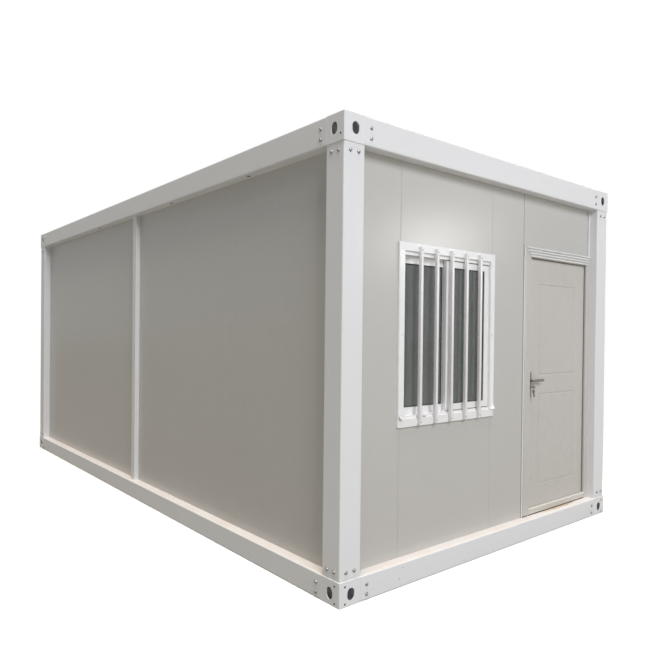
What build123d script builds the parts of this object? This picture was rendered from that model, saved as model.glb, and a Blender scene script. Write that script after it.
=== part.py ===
from build123d import *
import os

# Container site office, in millimetres.
# The origin is the middle of the base, +Z is up, and the end wall with the door faces -Y.

# Overall frame
length = 6000.0
width = 3000.0
height = 2750.0
frame_size = 160.0
roof_beam_height = 165.0
floor_beam_height = 145.0
steel_thickness = 4.0
bend_radius = 8.0
post_set_back = 4.0
beam_lip = 45.0

# Corner fittings with an upright oval lifting slot in each outer face
fitting_plate = 6.0
fitting_chamfer = 2.5
slot_width = 52.0
slot_height = 70.0
slot_inset = 86.0
slot_drop = 82.0
slot_rise = 65.0

# Floor, ceiling and roof
joist_count = 9
joist_width = 50.0
joist_height = 100.0
deck_thickness = 18.0
ceiling_thickness = 12.0
ceiling_bearing = 30.0
roof_sheet_thickness = 3.0
roof_sheet_drop = 36.0
roof_rib_count = 18
roof_rib_height = 25.0
roof_rib_top = 40.0
roof_rib_base = 80.0

# Wall panels, battens and edge trims
wall_recess = 75.0
panel_thickness = 50.0
seam_chamfer = 3.0
corner_panel_share = 0.2185
window_panel_share = 0.5477
rear_panel_count = 3
batten_width = 70.0
batten_depth = 40.0
trim_proud = 4.0
end_trim_width = 25.0
side_trim_width = 30.0

# Sliding window
window_opening_height = 1100.0
under_window_share = 0.6142
window_flange = 22.0
window_proud = 12.0
window_inner_proud = 18.0
window_frame_face = 52.0
window_lip_depth = 10.0
window_sill_step = 16.0
window_head_step = 24.0
sash_rail = 47.0
sash_thickness = 24.0
sash_setback = 16.0
sash_gap = 6.0
glass_thickness = 5.0
glass_rebate = 8.0

# Door frame and leaf
door_frame_width = 952.0
over_door_height = 388.0
door_jamb_face = 62.0
door_head_face = 82.0
door_frame_proud = 8.0
door_stop_depth = 15.0
door_stop_overlap = 12.0
door_clearance = 5.0
threshold_lap = 30.0
groove_depth = 3.0
groove_width = 14.0
field_side_margin = 160.0
field_bottom_margin = 190.0
field_top_margin = 205.0
field_gap = 140.0

# Flag hinges on the room side of the leaf
hinge_height_shares = (0.12, 0.5, 0.88)
hinge_flag_height = 60.0
hinge_flag_width = 32.0
hinge_flag_thickness = 3.0
hinge_knuckle_radius = 8.0
hinge_pin_radius = 5.0
hinge_stand_off = 9.0
hinge_lift = 0.3
pin_clearance = 0.1

# Lever handle and lock
handle_backset = 35.0
handle_rise = 1008.0
plate_width = 34.0
plate_height = 186.0
plate_thickness = 8.0
plate_above_lever = 64.0
spindle_radius = 5.0
spindle_leaf_clearance = 2.0
neck_radius = 9.0
neck_length = 38.0
neck_gap = 0.5
grip_length = 148.0
grip_heel = 11.0
grip_height = 20.0
grip_thickness = 14.0
grip_fillet = 5.0
lock_drop = 48.0
lock_radius = 8.0
lock_proud = 2.0
lock_clearance = 0.2

# One overrun serves every cut that passes a face
overrun = 10.0

# Planes and levels that the pieces share
half_width = width / 2
half_length = length / 2
inner_x = half_width - frame_size
inner_y = half_length - frame_size
floor_level = floor_beam_height
roof_level = height - roof_beam_height
wall_out_x = half_width - wall_recess
wall_in_x = wall_out_x - panel_thickness
wall_out_y = half_length - wall_recess
wall_in_y = wall_out_y - panel_thickness

# The door stands against the right post, and the panels share the front wall to its left
door_right = inner_x
door_left = door_right - door_frame_width
door_bay_left = door_left - side_trim_width
panelled_width = door_bay_left + inner_x
window_left = -inner_x + corner_panel_share * panelled_width
window_right = window_left + window_panel_share * panelled_width

# The wall above the door has a set height, and the wall above and below the window shares the rest
wall_height = roof_level - floor_level
door_frame_height = wall_height - over_door_height
door_top = floor_level + door_frame_height
window_sill = floor_level + under_window_share * (wall_height - window_opening_height)
window_top = window_sill + window_opening_height

# The frame's stop shows the leaf through this opening, and the leaf laps behind it
sight_left = door_left + door_jamb_face
sight_right = door_right - door_jamb_face
sight_top = door_top - door_head_face
leaf_left = sight_left - door_stop_overlap
leaf_right = sight_right + door_stop_overlap
leaf_top = sight_top + door_stop_overlap
deck_level = floor_level + deck_thickness
leaf_bottom = deck_level + door_clearance
threshold_top = leaf_bottom + threshold_lap
leaf_height = leaf_top - leaf_bottom
field_height = (leaf_height - field_bottom_margin - field_gap - field_top_margin) / 2
door_face = -wall_out_y - door_frame_proud
stop_back = door_face + door_stop_depth
leaf_out = stop_back + door_clearance
leaf_in = -wall_in_y
hinge_x = leaf_right + door_clearance / 2
hinge_y = leaf_in + hinge_stand_off
handle_x = leaf_left + handle_backset
handle_z = leaf_bottom + handle_rise
lock_z = handle_z - lock_drop

nodes = {}


def block(x0, x1, y0, y1, z0, z1):
    """A plain slab between two opposite corners."""
    middle = Pos((x0 + x1) / 2, (y0 + y1) / 2, (z0 + z1) / 2)
    return middle * Box(x1 - x0, y1 - y0, z1 - z0)


def rod(x, z, radius, y0, y1):
    """A round bar along Y."""
    return Pos(x, (y0 + y1) / 2, z) * Rot(90, 0, 0) * Cylinder(radius, y1 - y0)


def post_rod(x, y, radius, z0, z1):
    """A round bar along Z."""
    return Pos(x, y, (z0 + z1) / 2) * Cylinder(radius, z1 - z0)


def together(pieces):
    """Like pieces that don't touch, kept as one node."""
    return Compound(children=pieces)


def corner_fitting(side_x, side_y, z_low, tall, slot_level):
    """A welded plate box with a lifting slot in each of its two outer faces."""
    centre_x = side_x * (half_width - frame_size / 2)
    centre_y = side_y * (half_length - frame_size / 2)
    centre = Pos(centre_x, centre_y, z_low + tall / 2)
    shell = Box(frame_size, frame_size, tall)
    shell = chamfer(shell.edges(), fitting_chamfer)
    hollow = frame_size - 2 * fitting_plate
    shell = centre * (shell - Box(hollow, hollow, tall - 2 * fitting_plate))
    slot_reach = fitting_plate + overrun
    end_slot = extrude(Plane.XZ * SlotOverall(slot_height, slot_width, rotation=90), slot_reach, both=True)
    side_slot = extrude(Plane.YZ * SlotOverall(slot_height, slot_width, rotation=90), slot_reach, both=True)
    end_place = Pos(side_x * (half_width - slot_inset), side_y * half_length, slot_level)
    side_place = Pos(side_x * half_width, side_y * (half_length - slot_inset), slot_level)
    return shell - end_place * end_slot - side_place * side_slot


def post(side_x, side_y):
    """A hollow corner post between its two fittings, a little behind their outer faces."""
    side = frame_size - post_set_back
    bore = side - 2 * steel_thickness
    section = RectangleRounded(side, side, bend_radius) - Rectangle(bore, bore)
    inset = post_set_back + side / 2
    place = Pos(side_x * (half_width - inset), side_y * (half_length - inset), floor_level)
    return place * extrude(section, wall_height)


def beam(inward, reach, span, z_low, tall):
    """A cold-formed channel with its web outside and a lip at the inner edge of its top flange."""
    outline = Polyline(
        (0, 0),
        (frame_size, 0),
        (frame_size, steel_thickness),
        (steel_thickness, steel_thickness),
        (steel_thickness, tall - steel_thickness),
        (frame_size - steel_thickness, tall - steel_thickness),
        (frame_size - steel_thickness, tall - beam_lip),
        (frame_size, tall - beam_lip),
        (frame_size, tall),
        (0, tall),
        close=True,
    )
    section = make_face(outline)
    section = fillet(section.vertices().group_by(Axis.X)[0], bend_radius)
    up = Vector(0, 0, 1)
    run = inward.cross(up)
    start = up * z_low - inward * reach - run * (span / 2)
    return extrude(Plane(start, x_dir=inward, z_dir=run) * section, span)


def board_between_posts(reach_x, reach_y, z0, z1):
    """A level board cut back at its corners to pass the posts."""
    board = block(-reach_x, reach_x, -reach_y, reach_y, z0, z1)
    post_x = inner_x + frame_size / 2
    post_y = inner_y + frame_size / 2
    for side_x in (-1, 1):
        for side_y in (-1, 1):
            corner = Pos(side_x * post_x, side_y * post_y, (z0 + z1) / 2)
            board -= corner * Box(frame_size, frame_size, z1 - z0 + overrun)
    return board


def roof_sheet():
    """A sheet with trapezoid ribs across the cabin, fixed between the lips of the roof beams."""
    pitch = 2 * inner_y / roof_rib_count
    flat_top = height - roof_sheet_drop
    upper = [(-inner_y, flat_top)]
    for index in range(roof_rib_count):
        middle = -inner_y + (index + 1 / 2) * pitch
        upper.append((middle - roof_rib_base / 2, flat_top))
        upper.append((middle - roof_rib_top / 2, flat_top + roof_rib_height))
        upper.append((middle + roof_rib_top / 2, flat_top + roof_rib_height))
        upper.append((middle + roof_rib_base / 2, flat_top))
    upper.append((inner_y, flat_top))
    lower = [(y, z - roof_sheet_thickness) for y, z in reversed(upper)]
    section = make_face(Polyline(*upper, *lower, close=True))
    return extrude(Plane.YZ * section, inner_x, both=True)


def end_panel(x0, x1, z0, z1, side_y):
    """A sandwich panel of an end wall, with a shallow groove along each upright outer edge."""
    y_faces = sorted((side_y * wall_out_y, side_y * wall_in_y))
    panel = block(x0, x1, *y_faces, z0, z1)
    outer = panel.edges().filter_by(Axis.Z).group_by(Axis.Y)[0 if side_y < 0 else -1]
    return chamfer(outer, seam_chamfer)


def side_wall(side_x, y0, y1):
    """One half of a long wall, between a post and the middle batten."""
    x_faces = sorted((side_x * wall_out_x, side_x * wall_in_x))
    return block(*x_faces, y0, y1, floor_level, roof_level)


def batten(side_x):
    """The upright cover strip over the middle joint of a long wall."""
    x_faces = sorted((side_x * wall_out_x, side_x * (wall_out_x + batten_depth)))
    return block(*x_faces, -batten_width / 2, batten_width / 2, floor_level, roof_level)


def ring(x0, x1, z0, z1, face, y0, y1):
    """A rectangular frame of one face width, seen along Y."""
    outer = block(x0, x1, y0, y1, z0, z1)
    inner = block(x0 + face, x1 - face, y0 - overrun, y1 + overrun, z0 + face, z1 - face)
    return outer - inner


def frame_nodes():
    """Fittings, posts and beams."""
    corners = {
        "front_left": (-1, -1),
        "front_right": (1, -1),
        "rear_left": (-1, 1),
        "rear_right": (1, 1),
    }
    for name, (side_x, side_y) in corners.items():
        low = corner_fitting(side_x, side_y, 0, floor_beam_height, slot_rise)
        high = corner_fitting(side_x, side_y, roof_level, roof_beam_height, height - slot_drop)
        nodes["bottom_fitting_" + name] = low
        nodes["top_fitting_" + name] = high
        nodes["post_" + name] = post(side_x, side_y)
    sides = {
        "front": (Vector(0, 1, 0), half_length, 2 * inner_x),
        "rear": (Vector(0, -1, 0), half_length, 2 * inner_x),
        "left": (Vector(1, 0, 0), half_width, 2 * inner_y),
        "right": (Vector(-1, 0, 0), half_width, 2 * inner_y),
    }
    for name, (inward, reach, span) in sides.items():
        nodes["floor_beam_" + name] = beam(inward, reach, span, 0, floor_beam_height)
        nodes["roof_beam_" + name] = beam(inward, reach, span, roof_level, roof_beam_height)


def deck_nodes():
    """Joists, floor, ceiling and roof."""
    spacing = 2 * inner_y / (joist_count + 1)
    joists = []
    for index in range(joist_count):
        y = -inner_y + (index + 1) * spacing
        low = floor_level - joist_height
        joists.append(block(-inner_x, inner_x, y - joist_width / 2, y + joist_width / 2, low, floor_level))
    nodes["floor_joists"] = together(joists)
    nodes["floor_deck"] = board_between_posts(wall_in_x, wall_in_y, floor_level, deck_level)
    ceiling_low = roof_level + steel_thickness
    ceiling_high = ceiling_low + ceiling_thickness
    nodes["ceiling"] = board_between_posts(
        inner_x + ceiling_bearing, inner_y + ceiling_bearing, ceiling_low, ceiling_high
    )
    nodes["roof_sheet"] = roof_sheet()


def wall_nodes():
    """Long walls, rear wall, front wall and trims."""
    for name, side_x in (("left", -1), ("right", 1)):
        nodes[name + "_wall_front"] = side_wall(side_x, -inner_y, 0)
        nodes[name + "_wall_rear"] = side_wall(side_x, 0, inner_y)
        nodes[name + "_batten"] = batten(side_x)
    rear_width = 2 * inner_x / rear_panel_count
    for index in range(rear_panel_count):
        x0 = -inner_x + index * rear_width
        nodes["rear_panel_" + str(index + 1)] = end_panel(x0, x0 + rear_width, floor_level, roof_level, 1)
    nodes["front_panel_corner"] = end_panel(-inner_x, window_left, floor_level, roof_level, -1)
    nodes["front_panel_under_window"] = end_panel(window_left, window_right, floor_level, window_sill, -1)
    nodes["front_panel_over_window"] = end_panel(window_left, window_right, window_top, roof_level, -1)
    nodes["front_panel_middle"] = end_panel(window_right, door_bay_left, floor_level, roof_level, -1)
    end_trim_left = inner_x - end_trim_width
    nodes["front_panel_over_door"] = end_panel(door_bay_left, end_trim_left, door_top, roof_level, -1)
    trim_face = -wall_out_y - trim_proud
    end_trim = block(end_trim_left, inner_x, trim_face, -wall_in_y, door_top, roof_level)
    side_trim = block(door_bay_left, door_left, trim_face, -wall_in_y, floor_level, door_top)
    nodes["end_trim"] = end_trim
    nodes["door_side_trim"] = side_trim


def window_nodes():
    """Flanged frame with a stepped opening, two sashes on two tracks, and their panes."""
    face = -wall_out_y - window_proud
    back = -wall_in_y + window_inner_proud
    flange = block(
        window_left - window_flange,
        window_right + window_flange,
        face,
        -wall_out_y,
        window_sill - window_flange,
        window_top + window_flange,
    )
    body = block(window_left, window_right, -wall_out_y, back, window_sill, window_top)
    inset = window_frame_face - window_flange
    light_left = window_left + inset
    light_right = window_right - inset
    light_low = window_sill + inset
    light_high = window_top - inset
    track_low = light_low + window_sill_step
    track_high = light_high - window_head_step
    light = block(light_left, light_right, face - overrun, face + window_lip_depth, light_low, light_high)
    track = block(light_left, light_right, face, back + overrun, track_low, track_high)
    nodes["window_frame"] = flange + body - light - track
    middle = (light_left + light_right) / 2
    outer_front = face + sash_setback
    inner_front = outer_front + sash_thickness + sash_gap
    sashes = {
        "window_sash_right": (middle - sash_rail / 2, light_right, outer_front),
        "window_sash_left": (light_left, middle + sash_rail / 2, inner_front),
    }
    panes = []
    for name, (x0, x1, front) in sashes.items():
        sash = ring(x0, x1, track_low, track_high, sash_rail, front, front + sash_thickness)
        pane_in = sash_rail - glass_rebate
        pane_front = front + (sash_thickness - glass_thickness) / 2
        pane = block(
            x0 + pane_in,
            x1 - pane_in,
            pane_front,
            pane_front + glass_thickness,
            track_low + pane_in,
            track_high - pane_in,
        )
        nodes[name] = sash - pane
        panes.append(pane)
    nodes["window_panes"] = together(panes)


def door_frame_nodes():
    """Rebated frame and threshold, with the fixed flags and pins of the hinges."""
    frame = block(door_left, door_right, door_face, leaf_in, floor_level, door_top)
    frame -= block(
        sight_left, sight_right, door_face - overrun, leaf_in + overrun, floor_level - overrun, sight_top
    )
    frame -= block(
        leaf_left - door_clearance,
        leaf_right + door_clearance,
        stop_back,
        leaf_in + overrun,
        deck_level,
        leaf_top + door_clearance,
    )
    nodes["door_frame"] = frame
    upstand = block(sight_left, sight_right, door_face, stop_back, floor_level, threshold_top)
    step = block(sight_left, sight_right, stop_back, leaf_in, floor_level, deck_level)
    nodes["door_threshold"] = upstand + step
    fixed = []
    for share in hinge_height_shares:
        z = leaf_bottom + share * leaf_height
        flag = block(
            hinge_x + hinge_knuckle_radius / 2,
            hinge_x + hinge_flag_width,
            leaf_in,
            leaf_in + hinge_flag_thickness,
            z - hinge_flag_height,
            z,
        )
        knuckle = post_rod(hinge_x, hinge_y, hinge_knuckle_radius, z - hinge_flag_height, z)
        pin = post_rod(hinge_x, hinge_y, hinge_pin_radius, z, z + hinge_flag_height)
        fixed.append(flag + knuckle + pin)
    nodes["hinge_fixed_flags"] = together(fixed)


def field_groove(low):
    """The pressed groove round one field of the leaf, with sloping sides."""
    left = leaf_left + field_side_margin
    right = leaf_right - field_side_margin
    high = low + field_height
    bottom = leaf_out + groove_depth
    cut = block(left, right, leaf_out - overrun, bottom, low, high)
    cut = chamfer(cut.faces().sort_by(Axis.Y)[-1].edges(), groove_depth)
    inset = groove_width - groove_depth
    field = block(left + inset, right - inset, leaf_out, bottom + overrun, low + inset, high - inset)
    field = chamfer(field.faces().sort_by(Axis.Y)[0].edges(), groove_depth)
    return cut - field


def door_leaf_nodes():
    """Leaf with two grooved fields, the moving flags, the handle plates and the lock cylinder."""
    leaf = block(leaf_left, leaf_right, leaf_out, leaf_in, leaf_bottom, leaf_top)
    lower_field = leaf_bottom + field_bottom_margin
    for low in (lower_field, lower_field + field_height + field_gap):
        leaf -= field_groove(low)
    spindle_bore = spindle_radius + spindle_leaf_clearance
    lock_bore = lock_radius + lock_clearance
    through = (leaf_out - overrun, leaf_in + overrun)
    leaf -= rod(handle_x, handle_z, spindle_bore, *through)
    leaf -= rod(handle_x, lock_z, lock_bore, *through)
    nodes["door_leaf"] = leaf

    moving = []
    for share in hinge_height_shares:
        z = leaf_bottom + share * leaf_height + hinge_lift
        flag = block(
            hinge_x - hinge_flag_width,
            hinge_x - hinge_knuckle_radius / 2,
            leaf_in,
            leaf_in + hinge_flag_thickness,
            z,
            z + hinge_flag_height,
        )
        knuckle = post_rod(hinge_x, hinge_y, hinge_knuckle_radius, z, z + hinge_flag_height)
        bore = post_rod(
            hinge_x, hinge_y, hinge_pin_radius + pin_clearance, z - overrun, z + hinge_flag_height + overrun
        )
        moving.append(flag + knuckle - bore)
    nodes["hinge_moving_flags"] = together(moving)

    plates = []
    plate_top = handle_z + plate_above_lever
    for y0, y1 in ((leaf_out - plate_thickness, leaf_out), (leaf_in, leaf_in + plate_thickness)):
        plate = block(
            handle_x - plate_width / 2,
            handle_x + plate_width / 2,
            y0,
            y1,
            plate_top - plate_height,
            plate_top,
        )
        plate -= rod(handle_x, handle_z, spindle_radius + pin_clearance, y0 - overrun, y1 + overrun)
        plate -= rod(handle_x, lock_z, lock_bore, y0 - overrun, y1 + overrun)
        plates.append(plate)
    nodes["handle_plates"] = together(plates)
    lock_reach = plate_thickness + lock_proud
    nodes["lock_cylinder"] = rod(handle_x, lock_z, lock_radius, leaf_out - lock_reach, leaf_in + lock_reach)


def lever_nodes():
    """Both levers on their one spindle."""
    lever = rod(
        handle_x,
        handle_z,
        spindle_radius,
        leaf_out - plate_thickness - neck_length,
        leaf_in + plate_thickness + neck_length,
    )
    sides = ((-1, leaf_out - plate_thickness), (1, leaf_in + plate_thickness))
    for outward, plate_face in sides:
        neck_ends = sorted((plate_face + outward * neck_gap, plate_face + outward * neck_length))
        neck = rod(handle_x, handle_z, neck_radius, *neck_ends)
        grip_out = plate_face + outward * neck_length
        grip_ends = sorted((grip_out, grip_out - outward * grip_thickness))
        grip = block(
            handle_x - grip_heel,
            handle_x - grip_heel + grip_length,
            *grip_ends,
            handle_z - grip_height / 2,
            handle_z + grip_height / 2,
        )
        grip = fillet(grip.edges(), grip_fillet)
        lever += neck + grip
    nodes["lever_handle"] = lever


frame_nodes()
deck_nodes()
wall_nodes()
window_nodes()
door_frame_nodes()
door_leaf_nodes()
lever_nodes()

os.makedirs("parts", exist_ok=True)
for node, shape in nodes.items():
    export_step(shape, "parts/" + node + ".step")
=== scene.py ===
import math

import bmesh
import bpy
from mathutils import Matrix, Vector


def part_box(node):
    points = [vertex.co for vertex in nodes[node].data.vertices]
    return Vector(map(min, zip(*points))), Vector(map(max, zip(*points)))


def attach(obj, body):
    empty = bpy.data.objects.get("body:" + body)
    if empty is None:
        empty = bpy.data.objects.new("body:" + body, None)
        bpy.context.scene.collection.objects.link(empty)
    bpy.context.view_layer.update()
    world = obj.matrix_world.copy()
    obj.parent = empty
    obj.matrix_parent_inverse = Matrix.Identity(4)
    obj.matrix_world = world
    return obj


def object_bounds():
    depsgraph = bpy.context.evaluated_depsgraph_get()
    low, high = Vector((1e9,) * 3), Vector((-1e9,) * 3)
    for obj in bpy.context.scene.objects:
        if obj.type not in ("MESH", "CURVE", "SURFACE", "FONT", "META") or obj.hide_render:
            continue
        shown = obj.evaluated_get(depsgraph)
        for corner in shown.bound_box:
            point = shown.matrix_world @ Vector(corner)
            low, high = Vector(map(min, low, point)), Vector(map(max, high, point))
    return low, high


# Container site office, in metres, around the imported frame.
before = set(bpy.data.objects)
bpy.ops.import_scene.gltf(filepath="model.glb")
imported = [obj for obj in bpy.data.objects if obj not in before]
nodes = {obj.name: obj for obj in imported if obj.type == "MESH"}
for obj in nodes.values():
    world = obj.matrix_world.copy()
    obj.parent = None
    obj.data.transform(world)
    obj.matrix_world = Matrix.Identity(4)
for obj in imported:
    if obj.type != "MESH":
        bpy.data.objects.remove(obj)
cad_box = [list(corner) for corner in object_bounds()]
up_axis, right_axis, front_out = Vector((0, 0, 1)), Vector((1, 0, 0)), Vector((0, -1, 0))


# Shader helpers

def linear(red, green, blue):
    """A display colour, 0 to 255 a channel, as linear light."""
    channels = []
    for value in (red, green, blue):
        share = value / 255
        channels.append(share / 12.92 if share <= 0.04045 else ((share + 0.055) / 1.055) ** 2.4)
    return (*channels, 1.0)


class Shader:
    """A material with a principled surface, and short names for the nodes that feed it."""

    def __init__(self, name):
        self.material = bpy.data.materials.new(name + "_finish")
        self.material.use_nodes = True
        self.tree = self.material.node_tree
        self.surface = self.tree.nodes["Principled BSDF"]
        self.place = self.add("ShaderNodeTexCoord").outputs["Object"]

    def add(self, kind, **settings):
        node = self.tree.nodes.new(kind)
        for key, value in settings.items():
            setattr(node, key, value)
        return node

    def join(self, source, target):
        self.tree.links.new(source, target)

    def feed(self, target, value):
        """Links a socket, or sets a plain value."""
        if isinstance(value, bpy.types.NodeSocket):
            self.join(value, target)
        else:
            target.default_value = value

    def put(self, name, value):
        """Sets or links one input of the surface."""
        self.feed(self.surface.inputs[name], value)

    def mapped(self, key, value):
        """The object's coordinates after a change of scale or a turn."""
        node = self.add("ShaderNodeMapping")
        self.join(self.place, node.inputs["Vector"])
        node.inputs[key].default_value = value
        return node.outputs["Vector"]

    def noise(self, scale, detail=2.0, rough=0.5, vector=None):
        node = self.add("ShaderNodeTexNoise")
        self.join(vector or self.place, node.inputs["Vector"])
        for key, number in (("Scale", scale), ("Detail", detail), ("Roughness", rough)):
            node.inputs[key].default_value = number
        return node.outputs["Fac"]

    def span(self, value, between, to=(0.0, 1.0)):
        """A value carried smoothly from one range to another."""
        node = self.add("ShaderNodeMapRange", interpolation_type="SMOOTHSTEP")
        self.join(value, node.inputs["Value"])
        for key, number in zip(("From Min", "From Max", "To Min", "To Max"), (*between, *to)):
            node.inputs[key].default_value = number
        return node.outputs["Result"]

    def times(self, first, second):
        node = self.add("ShaderNodeMath", operation="MULTIPLY")
        self.feed(node.inputs[0], first)
        self.feed(node.inputs[1], second)
        return node.outputs["Value"]

    def blend(self, share, first, second):
        """A colour that goes from the first to the second."""
        node = self.add("ShaderNodeMix", data_type="RGBA")
        self.feed(node.inputs["Factor"], share)
        self.feed(node.inputs["A"], first)
        self.feed(node.inputs["B"], second)
        return node.outputs["Result"]

    def height_of(self, vector):
        """The Z part of a vector."""
        node = self.add("ShaderNodeSeparateXYZ")
        self.join(vector, node.inputs["Vector"])
        return node.outputs["Z"]

    def facing_up(self):
        """One on faces that look straight up."""
        normal = self.add("ShaderNodeNewGeometry").outputs["True Normal"]
        return self.span(self.height_of(normal), between=(0.6, 0.95))

    def rounded(self, radius):
        """A normal that softens edges by a radius."""
        node = self.add("ShaderNodeBevel", samples=4)
        node.inputs["Radius"].default_value = radius
        return node.outputs["Normal"]

    def bump(self, height, distance, normal=None):
        node = self.add("ShaderNodeBump")
        self.join(height, node.inputs["Height"])
        node.inputs["Distance"].default_value = distance
        if normal is not None:
            self.join(normal, node.inputs["Normal"])
        return node.outputs["Normal"]


# Dust tone, partly painted shade; ledge tone, painted warm light; roof tone, painted shade.
dust_and_shade_tone, ledge_light_tone = linear(150, 132, 112), linear(214, 190, 164)
roof_shade_tone = linear(186, 182, 174)
ledge_light_levels, roof_levels = (0.2, 0.3), (2.6, 2.7)
paint_spread, metal_spread = 0.04, 0.2


def around(value, spread):
    """A range that lies evenly about a value."""
    return value * (1 - spread), value * (1 + spread)


def soiled_and_shaded(s, body, dust, reach):
    """Dust up to a height, with painted shade mixed into it; painted warm light on ledges near the
    ground; and painted shade on faces looking up at the roof.
    """
    level, upward = s.height_of(s.place), s.facing_up()
    low = s.span(level, between=(0.0, reach), to=(dust, 0.0))
    smear = s.span(s.noise(scale=2.0, detail=5.0, rough=0.6), between=(0.2, 0.8), to=(0.6, 1.0))
    # Dust, with painted shade, darkening and warming towards the ground.
    body = s.blend(s.times(low, smear), body, dust_and_shade_tone)
    # Painted warm light on ledges that look up near the ground, in patches.
    ledge_light_mask = s.times(upward, s.span(level, between=ledge_light_levels, to=(1.0, 0.0)))
    ledge_light_share = s.span(s.noise(scale=5.0, detail=5.0, rough=0.6), between=(0.3, 0.7), to=(0.12, 0.32))
    body = s.blend(s.times(ledge_light_mask, ledge_light_share), body, ledge_light_tone)
    # Painted shade on faces that look up at the roof, in patches.
    roof_top_shade = s.times(upward, s.span(level, between=roof_levels))
    roof_shade_share = s.span(s.noise(scale=3.0, detail=6.0, rough=0.6), between=(0.25, 0.75), to=(0.55, 0.9))
    return s.blend(s.times(roof_top_shade, roof_shade_share), body, roof_shade_tone)


def paint(
    name, colour, shade, roughness,
    specular=0.5, peel=0.0, wave=0.0, edge=0.003, dust=0.0, reach=0.6,
):
    """Sprayed or coil-coated paint: slow tone changes, orange peel, slight waves, and dirt mixed
    with painted shade and painted warm light.
    """
    s = Shader(name)
    tone = s.span(s.noise(scale=0.9, detail=4.0, rough=0.55), between=(0.3, 0.7))
    fine = s.span(s.noise(scale=14.0, detail=3.0, rough=0.6), between=(0.35, 0.65))
    body = s.blend(s.times(tone, fine), colour, shade)
    # The dust amount also switches on the painted shade and painted warm light below.
    if dust:
        body = soiled_and_shaded(s, body, dust, reach)
    s.put("Base Color", body)
    gloss = s.noise(scale=2.0)
    s.put("Roughness", s.span(gloss, between=(0.3, 0.7), to=around(roughness, paint_spread)))
    s.put("Specular IOR Level", specular)
    normal = s.rounded(edge)
    if wave:
        normal = s.bump(s.noise(scale=1.1, detail=1.0, rough=0.4), wave, normal)
    if peel:
        normal = s.bump(s.noise(scale=160.0), peel, normal)
    s.put("Normal", normal)
    return s.material


def metal(name, colour, shade, roughness, grain, edge=0.0008):
    """Plated or brushed metal with a fine directional grain."""
    s = Shader(name)
    streak = s.noise(scale=60.0, detail=3.0, rough=0.6, vector=s.mapped("Scale", grain))
    s.put("Base Color", s.blend(s.span(streak, between=(0.3, 0.7)), colour, shade))
    s.put("Metallic", 1.0)
    s.put("Roughness", s.span(streak, between=(0.3, 0.7), to=around(roughness, metal_spread)))
    s.put("Normal", s.bump(streak, distance=0.0001, normal=s.rounded(edge)))
    return s.material


def rubber(name, colour, bloom):
    """Sealing rubber with a fine dusty bloom."""
    s = Shader(name)
    dusty = s.span(s.noise(scale=90.0, detail=4.0), between=(0.4, 0.75))
    s.put("Base Color", s.blend(dusty, colour, bloom))
    s.put("Roughness", s.span(s.noise(scale=30.0), between=(0.3, 0.7), to=(0.6, 0.8)))
    s.put("Normal", s.bump(s.noise(scale=400.0), distance=0.0001))
    return s.material


def glass(name):
    """Grey window glass, a little dusty."""
    s = Shader(name)
    dust = s.span(s.noise(scale=7.0, detail=6.0, rough=0.7), between=(0.45, 0.8))
    s.put("Base Color", s.blend(dust, linear(176, 182, 180), linear(164, 168, 166)))
    s.put("Transmission Weight", 0.74)
    s.put("IOR", 1.5)
    s.put("Roughness", s.times(dust, 0.06))
    return s.material


def floor_board(name):
    """Grey-brown vinyl planks on the floor."""
    s = Shader(name)
    plank = s.add("ShaderNodeTexBrick", offset=0.37)
    s.join(s.mapped("Rotation", (0.0, 0.0, math.pi / 2)), plank.inputs["Vector"])
    for key, value in (
        ("Color1", linear(150, 136, 120)), ("Color2", linear(136, 122, 107)),
        ("Mortar", linear(84, 74, 64)), ("Mortar Size", 0.0015),
        ("Scale", 1.0), ("Brick Width", 1.2), ("Row Height", 0.18),
    ):
        plank.inputs[key].default_value = value
    grain = s.noise(scale=9.0, detail=8.0, rough=0.65, vector=s.mapped("Scale", (9.0, 0.8, 1.0)))
    figure = s.span(grain, between=(0.35, 0.7), to=(0.0, 0.55))
    s.put("Base Color", s.blend(figure, plank.outputs["Color"], linear(104, 90, 76)))
    s.put("Roughness", s.span(grain, between=(0.3, 0.7), to=(0.38, 0.55)))
    s.put("Normal", s.bump(grain, distance=0.0004))
    return s.material


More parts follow.
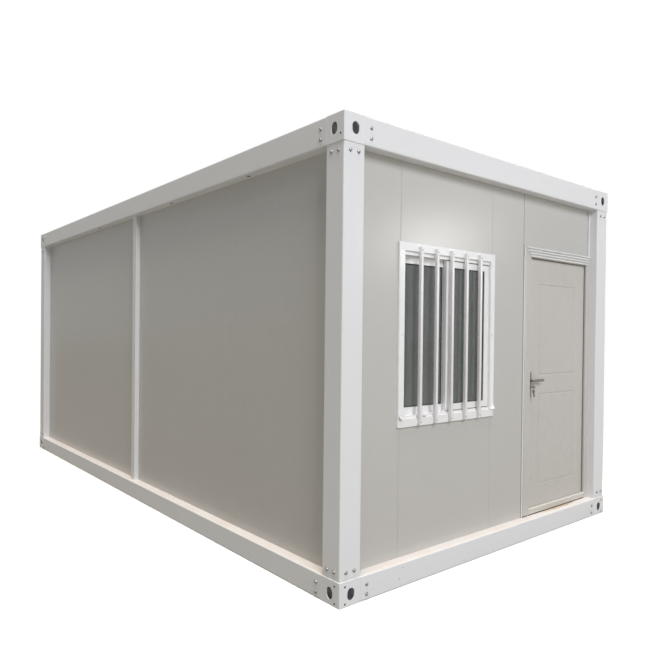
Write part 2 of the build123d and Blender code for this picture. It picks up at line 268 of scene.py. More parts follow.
door_finish = {"roughness": 0.36, "specular": 0.4, "wave": 0.0006, "dust": 0.08, "reach": 1.2}
materials = {
    "frame_paint": paint(
        "frame_paint", linear(231, 232, 236), linear(230, 231, 235),
        roughness=0.31, specular=0.4, wave=0.0002, edge=0.0022, dust=0.03,
    ),
    # The walls' dust reaches high, where it also paints shade on their lower part.
    "wall_panel": paint(
        "wall_panel", linear(198, 197, 195), linear(196, 195, 193),
        roughness=0.26, wave=0.0015, edge=0.0015, dust=0.12, reach=1.6,
    ),
    "trim_paint": paint(
        "trim_paint", linear(228, 229, 231), linear(227, 228, 230),
        roughness=0.30, specular=0.4, wave=0.0002, edge=0.0025, dust=0.03,
    ),
    "joist_paint": paint(
        "joist_paint", linear(176, 176, 174), linear(158, 157, 153),
        roughness=0.45, specular=0.4, peel=0.0001, dust=0.25,
    ),
    "floor_board": floor_board("floor_board"),
    "ceiling_sheet": paint(
        "ceiling_sheet", linear(226, 226, 224), linear(221, 221, 219),
        roughness=0.40, specular=0.4, peel=0.00005, wave=0.001, edge=0.002,
    ),
    "roof_sheet": paint(
        "roof_sheet", linear(192, 193, 193), linear(185, 186, 185),
        roughness=0.38, specular=0.4, peel=0.00008, wave=0.001, edge=0.004,
    ),
    "window_plastic": paint(
        "window_plastic", linear(238, 238, 240), linear(234, 234, 236), roughness=0.30, edge=0.002
    ),
    "window_glass": glass("window_glass"),
    "door_paint": paint("door_paint", linear(200, 197, 194), linear(197, 194, 191), **door_finish),
    "threshold_steel": metal(
        "threshold_steel", linear(232, 229, 224), linear(214, 211, 206),
        roughness=0.58, grain=(0.3, 12.0, 12.0),
    ),
    "hinge_steel": metal(
        "hinge_steel", linear(176, 177, 178), linear(140, 141, 142),
        roughness=0.38, grain=(8.0, 8.0, 8.0),
    ),
    "handle_steel": metal(
        "handle_steel", linear(184, 180, 176), linear(142, 139, 136),
        roughness=0.36, grain=(1.0, 10.0, 10.0),
    ),
    "lock_brass": metal(
        "lock_brass", linear(196, 172, 116), linear(160, 136, 84),
        roughness=0.36, grain=(8.0, 1.0, 8.0),
    ),
}
# Black rubber for the glazing gaskets, also used as painted shade at the foot of the door frame.
black_rubber_and_shade = rubber("black_rubber_and_shade", linear(34, 34, 35), linear(62, 61, 60))
grey_rubber = rubber("grey_rubber", linear(122, 119, 115), linear(140, 137, 132))
bolt_zinc = metal(
    "bolt_zinc", linear(190, 191, 193), linear(150, 151, 153), roughness=0.36, grain=(6.0, 6.0, 6.0)
)
# Painted shade for the insides of holes and the mouth of the drain.
hole_shade = paint("hole_shade", linear(44, 45, 46), linear(30, 31, 32), roughness=0.6)
chip_grey = paint("chip_grey", linear(176, 175, 172), linear(168, 167, 164), roughness=0.7)
# Painted shade for the grooves between wall panels, faint and dark.
joint_shade_grey = paint("joint_shade_grey", linear(190, 189, 187), linear(187, 186, 184), roughness=0.31)
joint_shade_dark = paint("joint_shade_dark", linear(92, 91, 88), linear(78, 77, 74), roughness=0.7)
# Grime with painted shadow, on the flange in front of the door.
stain_and_shadow_brown = paint("stain_and_shadow_brown", linear(200, 182, 164), linear(176, 155, 136), roughness=0.6)
casing_paint = paint("casing_paint", linear(208, 205, 202), linear(205, 202, 199), **door_finish)
film_clear = paint(
    "film_clear", linear(245, 246, 248), linear(239, 241, 245),
    roughness=0.20, wave=0.001, edge=0.0002,
)

for thing in nodes.values():
    thing.data.materials[0] = materials[thing.data.materials[0].name]


# Mesh helpers; small pieces reach into what carries them by a root, and thin strips by a bite

root, bite = 0.001, 0.0005
sharp_angle = math.radians(35)
bevel_steps, bead_steps, round_sides = 3, 8, 20


def piece(name, mesh_builder, body, material, smooth=True):
    """A new piece that rides on a body, with the finish it is given."""
    work = bmesh.new()
    mesh_builder(work)
    bmesh.ops.recalc_face_normals(work, faces=work.faces)
    mesh = bpy.data.meshes.new(name)
    work.to_mesh(mesh)
    work.free()
    thing = bpy.data.objects.new(name, mesh)
    bpy.context.scene.collection.objects.link(thing)
    mesh.materials.append(material)
    if smooth:
        mesh.shade_smooth()
        mesh.set_sharp_from_angle(angle=sharp_angle)
    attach(thing, body)


def add_bar(work, low, high, bevel):
    """A straight bar between two corners with rounded edges."""
    made = bmesh.ops.create_cube(work, size=1.0)["verts"]
    low, high = Vector(low), Vector(high)
    for vert in made:
        share = vert.co + Vector((0.5, 0.5, 0.5))
        vert.co = Vector(low[i] + share[i] * (high[i] - low[i]) for i in range(3))
    edges = list({edge for vert in made for edge in vert.link_edges})
    bmesh.ops.bevel(
        work, geom=edges, offset=bevel, segments=bevel_steps, profile=0.5, affect="EDGES"
    )


def circle(sides):
    """Evenly spaced points round a unit circle."""
    angles = [2 * math.pi * index / sides for index in range(sides)]
    return [(math.cos(angle), math.sin(angle)) for angle in angles]


def add_walls(work, rings):
    """Faces from each ring of vertices to the next, which may be a single point."""
    for first, second in zip(rings, rings[1:]):
        for index in range(len(first)):
            after = (index + 1) % len(first)
            if len(second) == 1:
                work.faces.new((first[index], first[after], second[0]))
            else:
                work.faces.new((first[index], first[after], second[after], second[index]))


def add_loft(work, outlines):
    """A closed form through outlines that have the same number of points."""
    rings = [[work.verts.new(spot) for spot in outline] for outline in outlines]
    add_walls(work, rings)
    work.faces.new(rings[0])
    work.faces.new(list(reversed(rings[-1])))


def add_turned(work, profile, place, sides=round_sides):
    """A turned shape: (radius, height) points about the local Z axis of a placing matrix."""
    rings = []
    for radius, height in profile:
        points = [(radius * x, radius * y) for x, y in circle(sides)] if radius else [(0, 0)]
        rings.append([work.verts.new(place @ Vector((x, y, height))) for x, y in points])
    add_walls(work, rings)


def half_round(width, depth, steps=bead_steps, sunk=root):
    """Points of a bead seen end on: across, outward."""
    angles = [math.pi * index / steps for index in range(steps + 1)]
    points = [(width / 2 * math.cos(angle), depth * math.sin(angle)) for angle in angles]
    return points + [(-width / 2, -sunk), (width / 2, -sunk)]


def add_bead(work, section, ends, across, out=front_out):
    """A straight bead between two points, given the two directions of its section."""
    add_loft(work, [[Vector(end) + u * across + v * out for u, v in section] for end in ends])


def facing(origin, outward):
    """A matrix at a point whose local Z looks outward."""
    turn = Vector(outward).to_track_quat("Z", "Y").to_matrix().to_4x4()
    return Matrix.Translation(origin) @ turn


# Bolts, weld seams, drilled holes and marks of the frame

half_width, half_length = cad_box[1][:2]
bolt_profile = (
    (0.0120, -root), (0.0120, 0.0012), (0.0114, 0.0018), (0.0096, 0.0020), (0.0096, 0.0034),
    (0.0088, 0.0058), (0.0068, 0.0076), (0.0036, 0.0086), (0.0, 0.0088),
)
hole_profile = (
    (0.0062, -root), (0.0062, 0.0002), (0.0056, 0.0005), (0.0050, 0.0002), (0.0, 0.0002)
)
beam_drain_profile = (
    (0.0135, -root), (0.0135, 0.0002), (0.0128, 0.0006), (0.0120, 0.0002), (0.0, 0.0002)
)
chip_profile = ((0.0045, -root), (0.0045, 0.0002), (0.0030, 0.0004), (0.0, 0.0004))
hole_sides, chip_sides = 16, 9
post_set_back = half_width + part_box("post_front_left")[0].x
beam_bolt_inset = 0.206
beam_bolt_levels = (0.034, 0.091, 2.630, 2.690)
post_bolt_insets = (0.051, 0.112)
post_bolt_levels = (0.191, 2.540)
fitting_hole_inset = 0.042
fitting_hole_levels = (0.018, 0.115)
top_hole_inset, top_hole_level = 0.030, 2.628
beam_drain_inset = 0.040
beam_drain_distances = (1.040, 2.231, 3.925)
weld_inset = half_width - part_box("roof_beam_front")[1].x
weld_width, weld_depth, weld_root, weld_steps = 0.006, 0.0008, 0.002, 6
front_chips = ((-1.026, 0.052), (-0.995, 0.114))
side_chip_y, side_chip_level = -1.502, 0.054
smear_thickness = 0.0003
smear_outline = (
    (0.60, -2.943), (0.64, -2.951), (0.69, -2.957), (0.74, -2.952), (0.79, -2.959), (0.84, -2.962),
    (0.89, -2.956), (0.94, -2.962), (0.99, -2.960), (1.03, -2.952), (1.07, -2.949), (1.11, -2.941),
    (1.06, -2.935), (0.98, -2.937), (0.90, -2.935), (0.82, -2.937), (0.74, -2.935), (0.66, -2.937),
)


def corner_places(points, set_back=0.0, on_ends=True):
    """Matrices for (inset from the corner, level) points on the outer faces of all four corners."""
    places = []
    for side_x in (-1, 1):
        for side_y in (-1, 1):
            for inset, level in points:
                end = (side_x * (half_width - inset), side_y * (half_length - set_back), level)
                long = (side_x * (half_width - set_back), side_y * (half_length - inset), level)
                if on_ends:
                    places.append(facing(end, (0, side_y, 0)))
                places.append(facing(long, (side_x, 0, 0)))
    return places


def build_bolts(work):
    """Domed bolts through the beams and posts at each corner."""
    beam_points = [(beam_bolt_inset, level) for level in beam_bolt_levels]
    post_points = [(inset, level) for inset in post_bolt_insets for level in post_bolt_levels]
    for place in corner_places(beam_points) + corner_places(post_points, post_set_back):
        add_turned(work, bolt_profile, place)


def build_holes(work):
    """Small holes in the fittings, and drain holes under the long roof beams: discs painted with
    the shade of their insides.
    """
    low_points = [(fitting_hole_inset, level) for level in fitting_hole_levels]
    high_points = [(top_hole_inset, top_hole_level)]
    for place in corner_places(low_points) + corner_places(high_points, on_ends=False):
        add_turned(work, hole_profile, place, hole_sides)
    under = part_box("roof_beam_left")[0].z
    for distance in beam_drain_distances:
        for side_x in (-1, 1):
            spot = (side_x * (half_width - beam_drain_inset), -half_length + distance, under)
            add_turned(work, beam_drain_profile, facing(spot, -up_axis))


def build_welds(work):
    """Flat weld seams where the beams meet the corner fittings."""
    section = half_round(weld_width, weld_depth, weld_steps, weld_root)
    for beam in ("floor_beam_front", "roof_beam_front"):
        low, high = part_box(beam)[0].z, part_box(beam)[1].z
        reach = up_axis * ((high - low) / 2 - weld_width)
        for place in corner_places([(weld_inset, (low + high) / 2)]):
            middle, out = place.to_translation(), place.to_3x3() @ up_axis
            add_bead(work, section, (middle - reach, middle + reach), out.cross(up_axis), out)


def build_chips(work):
    """Small chips in the paint of the floor beams."""
    for x, level in front_chips:
        add_turned(work, chip_profile, facing((x, -half_length, level), front_out), chip_sides)
    side_spot = (-half_width, side_chip_y, side_chip_level)
    add_turned(work, chip_profile, facing(side_spot, -right_axis), chip_sides)


def build_stain_and_shadow(work):
    """A thin brown smear on the flange of the floor beam in front of the door: grime, with painted
    shadow along the foot of the door.
    """
    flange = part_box("floor_beam_front")[1].z
    levels = (flange + smear_thickness, flange - bite)
    add_loft(work, [[(x, y, level) for x, y in smear_outline] for level in levels])


piece("corner_bolts", build_bolts, "cabin", bolt_zinc)
piece("weld_seams", build_welds, "cabin", materials["frame_paint"])
piece("paint_chips", build_chips, "cabin", chip_grey)
piece("flange_stain_and_shadow", build_stain_and_shadow, "cabin", stain_and_shadow_brown)
# The holes are discs of painted shade.
piece("drilled_holes", build_holes, "cabin", hole_shade)

# Strips of painted shade in the grooves between wall panels, from near the face to past the bottom

groove_depth = 0.003
joint_face_share, joint_root_share = 0.25, 1.2
joint_width, wide_joint_width, joint_bevel = 0.0044, 0.0050, 0.0003


def add_joint(work, x, face, foot, top, across):
    """A strip that fills most of an upright groove in an end wall."""
    shares = (joint_face_share, joint_root_share)
    y0, y1 = sorted(face - math.copysign(groove_depth * share, face) for share in shares)
    add_bar(work, (x - across / 2, y0, foot), (x + across / 2, y1, top), joint_bevel)


def build_joint_shade(work):
    """Faint painted shade in the joints above and below the window, and in those of the rear wall.
    """
    corner_low, corner_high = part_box("front_panel_corner")
    middle_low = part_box("front_panel_middle")[0]
    sill_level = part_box("window_frame")[0].z
    head_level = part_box("window_frame")[1].z
    for x in (corner_high.x, middle_low.x):
        add_joint(work, x, corner_low.y, corner_low.z, sill_level, joint_width)
        add_joint(work, x, corner_low.y, head_level, corner_high.z, joint_width)
    for name in ("rear_panel_1", "rear_panel_2"):
        low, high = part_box(name)
        add_joint(work, high.x, high.y, low.z, high.z, joint_width)


def build_bay_joint_shade(work):
    """Wider, darker painted shade in the joints at the two sides of the panel over the door."""
    low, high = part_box("front_panel_over_door")
    for x in (low.x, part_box("end_trim")[0].x - wide_joint_width / 2):
        add_joint(work, x, low.y, low.z, high.z, wide_joint_width)


piece("panel_joint_shade", build_joint_shade, "cabin", joint_shade_grey)
piece("bay_joint_shade", build_bay_joint_shade, "cabin", joint_shade_dark)

# Window: bars, screws, seals, a drain in the sill and protective film

window_low, window_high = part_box("window_frame")
window_mid = (window_low.x + window_high.x) / 2
window_face = window_low.y
bar_size, bar_depth, bar_bevel = 0.020, 0.024, 0.0025
bar_pitch, bar_count = 0.151, 5
bar_low, bar_high = 0.950, 2.072
bar_places = [window_mid + (index - (bar_count - 1) / 2) * bar_pitch for index in range(bar_count)]
screw_profile = (
    (0.0045, -root), (0.0045, 0.0006), (0.0036, 0.0017), (0.0018, 0.0022), (0.0, 0.0022)
)
screw_sides = 14
bar_screw_inset, frame_screw_inset, frame_screw_rise = 0.022, 0.030, 0.075
sash_rail, pane_setback = 0.047, 0.0095
glazing_width, glazing_depth, glazing_bite, glazing_bevel = 0.005, 0.004, 0.0002, 0.001
seal_height, seal_proud, seal_bevel = 0.006, 0.0012, 0.0004
drain_x, drain_z = -0.745, 1.0075
drain_width, hood_height, hood_depth = 0.026, 0.008, 0.004
mouth_height, mouth_proud, mouth_bevel = 0.0035, 0.0006, 0.0002
film_width, film_thickness, film_inset, film_stand = 0.042, 0.0004, 0.005, 0.0012
film_top_gap, film_foot_gap = 0.058, 0.048
film_loose, film_radius, film_slant = 0.058, 0.026, math.radians(38)
film_columns, film_rows = 10, 60


def add_screw(work, spot, outward):
    """A small round-headed screw."""
    add_turned(work, screw_profile, facing(spot, outward), screw_sides)


def build_window_bars(work):
    """Upright security bars in front of the window."""
    for x in bar_places:
        low = (x - bar_size / 2, window_face - bar_depth, bar_low)
        add_bar(work, low, (x + bar_size / 2, window_face, bar_high), bar_bevel)


def build_window_screws(work):
    """Screws at both ends of each bar, and in the two jambs of the frame."""
    for x in bar_places:
        for level in (bar_low + bar_screw_inset, bar_high - bar_screw_inset):
            add_screw(work, (x, window_face - bar_depth, level), front_out)
    middle = (window_low.z + window_high.z) / 2
    for x in (window_low.x + frame_screw_inset, window_high.x - frame_screw_inset):
        for level in (window_low.z + frame_screw_rise, middle, window_high.z - frame_screw_rise):
            add_screw(work, (x, window_face, level), front_out)


def build_glazing_gaskets(work):
    """Rubber strips round the outer face of each pane."""
    for name in ("window_sash_left", "window_sash_right"):
        low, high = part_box(name)
        x0, x1 = low.x + sash_rail, high.x - sash_rail
        z0, z1 = low.z + sash_rail, high.z - sash_rail
        pane = low.y + pane_setback
        y0, y1 = pane - glazing_depth, pane + glazing_bite
        for a, b in ((z0, z0 + glazing_width), (z1 - glazing_width, z1)):
            add_bar(work, (x0, y0, a), (x1, y1, b), glazing_bevel)
        for a, b in ((x0, x0 + glazing_width), (x1 - glazing_width, x1)):
            add_bar(work, (a, y0, z0 + glazing_width), (b, y1, z1 - glazing_width), glazing_bevel)


def build_sash_seal(work):
    """Pile strips along the head and foot of the sash on the outer track."""
    low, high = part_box("window_sash_right")
    for z0, z1 in ((low.z, low.z + seal_height), (high.z - seal_height, high.z)):
        add_bar(work, (low.x, low.y - seal_proud, z0), (high.x, low.y + bite, z1), seal_bevel)


def build_drain_cap(work):
    """The hood of a drain in the sill of the window frame."""
    ends = [(drain_x + side * drain_width / 2, window_face, drain_z) for side in (-1, 1)]
    add_bead(work, half_round(hood_height, hood_depth), ends, up_axis)


def build_drain_slot(work):
    """A bar of painted shade for the mouth under the hood of the drain."""
    top = drain_z - hood_height / 2
    low = (drain_x - drain_width / 2, window_face - mouth_proud, top - mouth_height)
    add_bar(work, low, (drain_x + drain_width / 2, window_face + bite, top), mouth_bevel)


def curled(spot, start, fold):
    """A point of the film and its outward direction; past a slanting line the film rolls up."""
    beyond = (spot - start).dot(fold)
    if beyond <= 0:
        return spot, front_out
    turn = beyond / film_radius
    along = fold * (film_radius * math.sin(turn) - beyond)
    lift = front_out * film_radius * (1 - math.cos(turn))
    return spot + along + lift, front_out * math.cos(turn) - fold * math.sin(turn)


def build_film(work):
    """Strips of protective film on the two jambs, with their lower corners peeling away."""
    top, bottom = window_high.z - film_top_gap, window_low.z + film_foot_gap
    plane = window_face - film_stand
    left_strip, right_strip = window_low.x + film_inset, window_high.x - film_inset - film_width
    for x0, lean in ((left_strip, -1), (right_strip, 1)):
        fold = Vector((lean * math.sin(film_slant), 0, -math.cos(film_slant)))
        start = Vector((x0 + film_width / 2, plane, bottom + film_loose / 2))
        across = [x0 + film_width * column / film_columns for column in range(film_columns + 1)]
        rings = []
        for row in range(film_rows + 1):
            level = top + (bottom - top) * row / film_rows
            placed = [curled(Vector((x, plane, level)), start, fold) for x in across]
            outer = [work.verts.new(spot + out * film_thickness) for spot, out in placed]
            inner = [work.verts.new(spot) for spot, out in placed]
            rings.append(outer + list(reversed(inner)))
        add_walls(work, rings)
        for ring in (rings[0], rings[-1]):
            for column in range(film_columns):
                work.faces.new(
                    (ring[column], ring[column + 1], ring[-2 - column], ring[-1 - column])
                )


piece("window_bars", build_window_bars, "cabin", materials["window_plastic"])
piece("window_screws", build_window_screws, "cabin", bolt_zinc)
piece("glazing_gaskets", build_glazing_gaskets, "cabin", black_rubber_and_shade)
piece("sash_seal", build_sash_seal, "cabin", grey_rubber)
piece("drain_cap", build_drain_cap, "cabin", materials["window_plastic"])
# The drain's mouth is a bar of painted shade.
piece("drain_slot", build_drain_slot, "cabin", hole_shade)
piece("window_film", build_film, "cabin", film_clear)

# Door: casing, gasket, threshold edge, handle screws and keys

door_low, door_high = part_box("door_frame")
leaf_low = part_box("door_leaf")[0]
sill_low, sill_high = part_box("door_threshold")
trim_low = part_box("door_side_trim")[0]
plate_low, plate_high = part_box("handle_plates")
lock_low, lock_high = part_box("lock_cylinder")
head_face = 0.082
sight_left, sight_right, sight_top = sill_low.x, sill_high.x, door_high.z - head_face
casing_left, casing_face = trim_low.x, door_low.y
casing_proud, casing_lap, casing_bevel = 0.0004, 0.002, 0.001
cover_inset = 0.018
jamb_bead, jamb_bead_depth, jamb_bead_inset = 0.009, 0.003, 0.006
rib_count, rib_depth, rib_share = 4, 0.010, 0.74
edge_bead, edge_bead_depth = 0.013, 0.006
gasket_lap, gasket_gap, gasket_depth = 0.009, 0.0006, 0.0040
gasket_rise, gasket_bevel = 0.004, 0.001
lip_depth, lip_thickness, head_lip = 0.008, 0.0025, 0.006
nosing_size, nosing_depth = 0.010, 0.005
foot_height, foot_proud, foot_bevel = 0.007, 0.0012, 0.0005
lock_x, lock_z = (lock_low.x + lock_high.x) / 2, (lock_low.z + lock_high.z) / 2
plate_screw_inset = 0.012
key_half, key_bow, key_eye, key_sides = 0.0011, 0.0115, 0.004, 20
blade_half, blade_top, blade_end = 0.004, -0.0108, -0.034
blade_tip, blade_corner = (-0.001, -0.037), 0.003
tooth_count, tooth_start, tooth_pitch = 4, -0.032, 0.0045
tooth_low, tooth_high, tooth_rise = 0.0015, 0.0038, 0.0022
key_out = 0.028
ring_radius, ring_wire, ring_turns, wire_sides = 0.0125, 0.0008, 28, 8
spare_scale = 1.25
spare_places = ((-0.0018, math.radians(-25)), (0.0018, math.radians(-3)))


def build_casing(work):
    """The band round the door: flat covers at the left and a slim bead on each jamb."""
    front, back = casing_face - casing_proud, trim_low.y + root
    for left, foot, top in (
        (casing_left + cover_inset, door_low.z, sight_top), (casing_left, sight_top, door_high.z)
    ):
        add_bar(work, (left, front, foot), (door_low.x + casing_lap, back, top), casing_bevel)
    section = half_round(jamb_bead, jamb_bead_depth)
    for x in (sight_left - jamb_bead_inset, sight_right + jamb_bead_inset):
        ends = ((x, casing_face, door_low.z), (x, casing_face, sight_top))
        add_bead(work, section, ends, right_axis)


def build_head_ribs(work):
    """Ribs along the head of the casing, with mitred ends, in a paint paler than the casing that
    paints part of their highlights.
    """
    pitch = head_face / rib_count
    section = half_round(pitch * rib_share, rib_depth)
    for index in range(rib_count):
        level = sight_top + (index + 0.5) * pitch
        down_share = (door_high.z - level) / head_face
        left = casing_left + down_share * (sight_left - casing_left)
        right = door_high.x - down_share * (door_high.x - sight_right)
        add_bead(work, section, ((left, casing_face, level), (right, casing_face, level)), up_axis)


def build_casing_edge(work):
    """A pale bead down the outer edge of the casing."""
    x = casing_left + edge_bead / 2
    ends = ((x, trim_low.y, door_low.z), (x, trim_low.y, door_high.z))
    add_bead(work, half_round(edge_bead, edge_bead_depth), ends, right_axis)


def build_door_gasket(work):
    """Soft strips between the frame's stop and the leaf, with a lip along the reveal."""
    back = leaf_low.y - gasket_gap
    front = back - gasket_depth
    foot = sill_high.z
    for x, inward in ((sight_left, 1), (sight_right, -1)):
        x0, x1 = sorted((x - inward * gasket_lap, x - inward * bite))
        add_bar(work, (x0, front, foot + gasket_rise), (x1, back, sight_top), gasket_bevel)
        x0, x1 = sorted((x - inward * bite, x + inward * lip_thickness))
        add_bar(work, (x0, back - lip_depth, foot), (x1, back, sight_top), gasket_bevel)
    over = (sight_right + gasket_lap, back, sight_top + gasket_lap)
    add_bar(work, (sight_left - gasket_lap, front, sight_top + bite), over, gasket_bevel)
    under = (sight_left, front, sight_top - head_lip)
    add_bar(work, under, (sight_right, back, sight_top + bite), gasket_bevel)


def build_nosing(work):
    """A rounded bead in pale paint along the top of the threshold, painting the highlight on its
    edge.
    """
    level = sill_high.z - nosing_size / 2
    ends = ((sight_left, sill_low.y, level), (sight_right, sill_low.y, level))
    add_bead(work, half_round(nosing_size, nosing_depth), ends, up_axis)


def build_foot_shade_strip(work):
    """A dark strip of painted shade where the door frame stands on the floor beam."""
    low = (casing_left, casing_face - foot_proud, door_low.z)
    add_bar(work, low, (sight_right, casing_face + root, door_low.z + foot_height), foot_bevel)


def build_handle_screws(work):
    """A screw at the head and foot of each handle plate."""
    for level in (plate_low.z + plate_screw_inset, plate_high.z - plate_screw_inset):
        add_screw(work, (lock_x, plate_low.y, level), front_out)
        add_screw(work, (lock_x, plate_high.y, level), -front_out)


def add_key(work, place):
    """A flat key along local -Z: a round bow with a hole, and a toothed blade."""
    corners = ((key_eye, -key_half), (key_bow, -key_half), (key_bow, key_half), (key_eye, key_half))
    loops = []
    for radius, y in corners:
        spots = [Vector((radius * x, y, radius * z)) for x, z in circle(key_sides)]
        loops.append([work.verts.new(place @ spot) for spot in spots])
    add_walls(work, loops + loops[:1])
    edge = [
        (-blade_half, blade_top), (-blade_half, blade_end), blade_tip, (blade_corner, blade_end)
    ]
    for step in range(tooth_count):
        foot = tooth_start + step * tooth_pitch
        edge += [(tooth_low, foot), (tooth_high, foot + tooth_rise)]
    edge += [(blade_half, blade_top)]
    add_loft(work, [[place @ Vector((x, y, z)) for x, z in edge] for y in (-key_half, key_half)])


def add_ring(work, centre):
    """A wire ring that hangs square to the door."""
    rings = []
    for y, z in circle(ring_turns):
        outward = Vector((0, y, z))
        middle = centre + outward * ring_radius
        spots = [middle + ring_wire * (u * outward + v * right_axis) for u, v in circle(wire_sides)]
        rings.append([work.verts.new(spot) for spot in spots])
    add_walls(work, rings + rings[:1])


def build_keys(work):
    """One key in the lock, a split ring through its bow, and two spares hanging from the ring."""
    quarter = math.radians(90)
    bow_centre = Vector((lock_x, lock_low.y - key_out, lock_z))
    turned = Matrix.Rotation(quarter, 4, "X") @ Matrix.Rotation(quarter, 4, "Z")
    add_key(work, Matrix.Translation(bow_centre) @ turned)
    ring_centre = bow_centre - up_axis * (key_eye + ring_radius)
    add_ring(work, ring_centre)
    low = ring_centre - up_axis * (ring_radius + key_eye)
    for step, swing in spare_places:
        hung = Matrix.Translation(low + Vector((0, step, 0))) @ Matrix.Rotation(swing, 4, "Y")
        add_key(work, hung @ Matrix.Scale(spare_scale, 4))


piece("door_casing", build_casing, "cabin", casing_paint)
# The ribs' pale paint paints part of their highlights.
piece("head_ribs", build_head_ribs, "cabin", materials["trim_paint"])
piece("casing_edge", build_casing_edge, "cabin", materials["trim_paint"])
piece("door_gasket", build_door_gasket, "cabin", grey_rubber)
# The nosing's pale paint paints the highlight along the threshold's edge.
piece("threshold_nosing", build_nosing, "cabin", materials["trim_paint"])
# A dark strip of painted shade at the foot of the door frame.
piece("threshold_shade_strip", build_foot_shade_strip, "cabin", black_rubber_and_shade)
piece("handle_screws", build_handle_screws, "door", bolt_zinc)
piece("door_keys", build_keys, "door", materials["handle_steel"], smooth=False)

# Floor, background, lights and camera

white = (1.0, 1.0, 1.0, 1.0)
floor_reach, floor_dull = 60.0, (0.350, 0.345, 0.325, 1.0)
shadow_stretch, shadow_ends = (1.0, 0.62, 0.0), (2.6, 5.2)
fill_colour = (0.95, 1.02, 1.02, 1.0)
fill_strength, surround_strength, plain_strength = 0.175, 0.5, 1.0


def mixed(tree, share, first, second):
    """A shader that goes from the first to the second."""
    node = tree.nodes.new("ShaderNodeMixShader")
    for source, socket in zip((share, first, second), node.inputs):
        tree.links.new(source, socket)
    return node.outputs["Shader"]


def shown_share(tree):
    """One for rays that show the background directly or through glass."""
    path = tree.nodes.new("ShaderNodeLightPath")
    either = tree.nodes.new("ShaderNodeMath")
    either.operation = "MAXIMUM"
    tree.links.new(path.outputs["Is Camera Ray"], either.inputs[0])
    tree.links.new(path.outputs["Is Transmission Ray"], either.inputs[1])
    return either.outputs["Value"]


def add_floor():
    """A pale floor that shows the shadow near the object and turns to plain white further out."""
    mesh = bpy.data.meshes.new("studio_floor")
    signs = ((-1, -1), (1, -1), (1, 1), (-1, 1))
    corners = [(x * floor_reach, y * floor_reach, 0.0) for x, y in signs]
    mesh.from_pydata(corners, [], [(0, 1, 2, 3)])
    floor = bpy.data.objects.new("studio_floor", mesh)
    bpy.context.scene.collection.objects.link(floor)
    s = Shader("studio_floor")
    away = s.add("ShaderNodeVectorMath", operation="LENGTH")
    s.join(s.mapped("Scale", shadow_stretch), away.inputs[0])
    far = s.span(away.outputs["Value"], between=shadow_ends)
    near, dull = s.add("ShaderNodeBsdfDiffuse"), s.add("ShaderNodeBsdfDiffuse")
    near.inputs["Color"].default_value = white
    dull.inputs["Color"].default_value = floor_dull
    glow = s.add("ShaderNodeEmission")
    seen = mixed(s.tree, far, near.outputs["BSDF"], glow.outputs["Emission"])
    whole = mixed(s.tree, shown_share(s.tree), dull.outputs["BSDF"], seen)
    s.join(whole, s.tree.nodes["Material Output"].inputs["Surface"])
    mesh.materials.append(s.material)


def add_world():
    """White behind the object, a dimmer surround in reflections and a low even fill."""
    world = bpy.data.worlds.new("studio_world")
    bpy.context.scene.world = world
    world.use_nodes = True
    tree = world.node_tree
    fill = tree.nodes["Background"]
    surround, plain = (tree.nodes.new("ShaderNodeBackground") for _ in range(2))
    for node, colour, strength in (
        (fill, fill_colour, fill_strength),
        (surround, white, surround_strength),
        (plain, white, plain_strength),
    ):
        node.inputs["Color"].default_value = colour
        node.inputs["Strength"].default_value = strength
    glossy = tree.nodes.new("ShaderNodeLightPath").outputs["Is Glossy Ray"]
    unseen = mixed(tree, glossy, fill.outputs["Background"], surround.outputs["Background"])
    whole = mixed(tree, shown_share(tree), unseen, plain.outputs["Background"])
    tree.links.new(whole, tree.nodes["World Output"].inputs["Surface"])


def add_light(name, place, target, size, power, colour):
    """A soft rectangular lamp that looks at a point."""
    lamp = bpy.data.lights.new(name, "AREA")
    lamp.shape = "RECTANGLE"
    lamp.size, lamp.size_y = size
    lamp.energy = power
    lamp.color = colour
    thing = bpy.data.objects.new(name, lamp)
    thing.location = place
    aim = Vector(target) - Vector(place)
    thing.rotation_euler = aim.to_track_quat("-Z", "Y").to_euler()
    bpy.context.scene.collection.objects.link(thing)


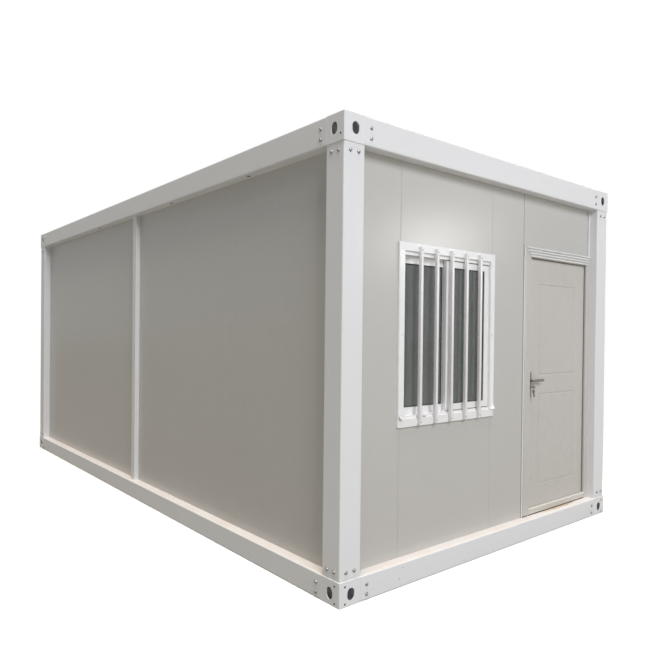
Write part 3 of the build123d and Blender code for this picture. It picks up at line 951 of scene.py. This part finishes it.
def add_sky_light(name, toward, angle, strength, colour):
    """An even soft light from one direction, as from a very large lamp far away."""
    lamp = bpy.data.lights.new(name, "SUN")
    lamp.angle = math.radians(angle)
    lamp.energy = strength
    lamp.color = colour
    thing = bpy.data.objects.new(name, lamp)
    thing.rotation_euler = Vector(toward).to_track_quat("Z", "Y").to_euler()
    bpy.context.scene.collection.objects.link(thing)


def add_camera():
    """The camera fitted to the edges of the frame in the photograph."""
    focal_px, image_px, sensor = 613.89, 650.0, 36.0
    place, shift = (-3.69654, -5.55224, 1.52771), (-0.0140, 0.0200)
    yaw, pitch, roll = 0.6978, -0.00894, 0.01067
    level = math.cos(pitch)
    forward = Vector((math.sin(yaw) * level, math.cos(yaw) * level, math.sin(pitch)))
    right = Vector((math.cos(yaw), -math.sin(yaw), 0.0))
    down = forward.cross(right)
    c, s = math.cos(roll), math.sin(roll)
    right, down = c * right - s * down, s * right + c * down
    lens = bpy.data.cameras.new("photo_camera")
    lens.sensor_width = sensor
    lens.lens = focal_px / image_px * sensor
    lens.shift_x, lens.shift_y = shift
    camera = bpy.data.objects.new("photo_camera", lens)
    turn = Matrix((right, -down, -forward)).transposed().to_4x4()
    camera.matrix_world = Matrix.Translation(place) @ turn
    bpy.context.scene.collection.objects.link(camera)
    bpy.context.scene.camera = camera


add_floor()
add_world()
add_sky_light(
    "top_light", toward=(-0.12, -0.062, 0.99), angle=16.0, strength=2.5, colour=(1.0, 0.90, 0.77)
)
add_light(
    "front_light", place=(-4.4, -17.8, 12.5), target=(0.0, -2.9, 1.4),
    size=(8.0, 8.0), power=2250.0, colour=(0.975, 0.985, 1.01),
)
add_light(
    "glint_light", place=(5.3, -8.2, 3.34), target=(0.0, -2.9, 2.1),
    size=(1.2, 0.4), power=42.0, colour=(1.0, 1.0, 1.0),
)
add_light(
    "rear_light", place=(14.0, 14.0, 10.0), target=(1.5, 1.0, 1.4),
    size=(8.0, 8.0), power=1400.0, colour=(1.0, 0.99, 0.97),
)
add_camera()
bpy.context.scene.view_settings.view_transform = "Standard"
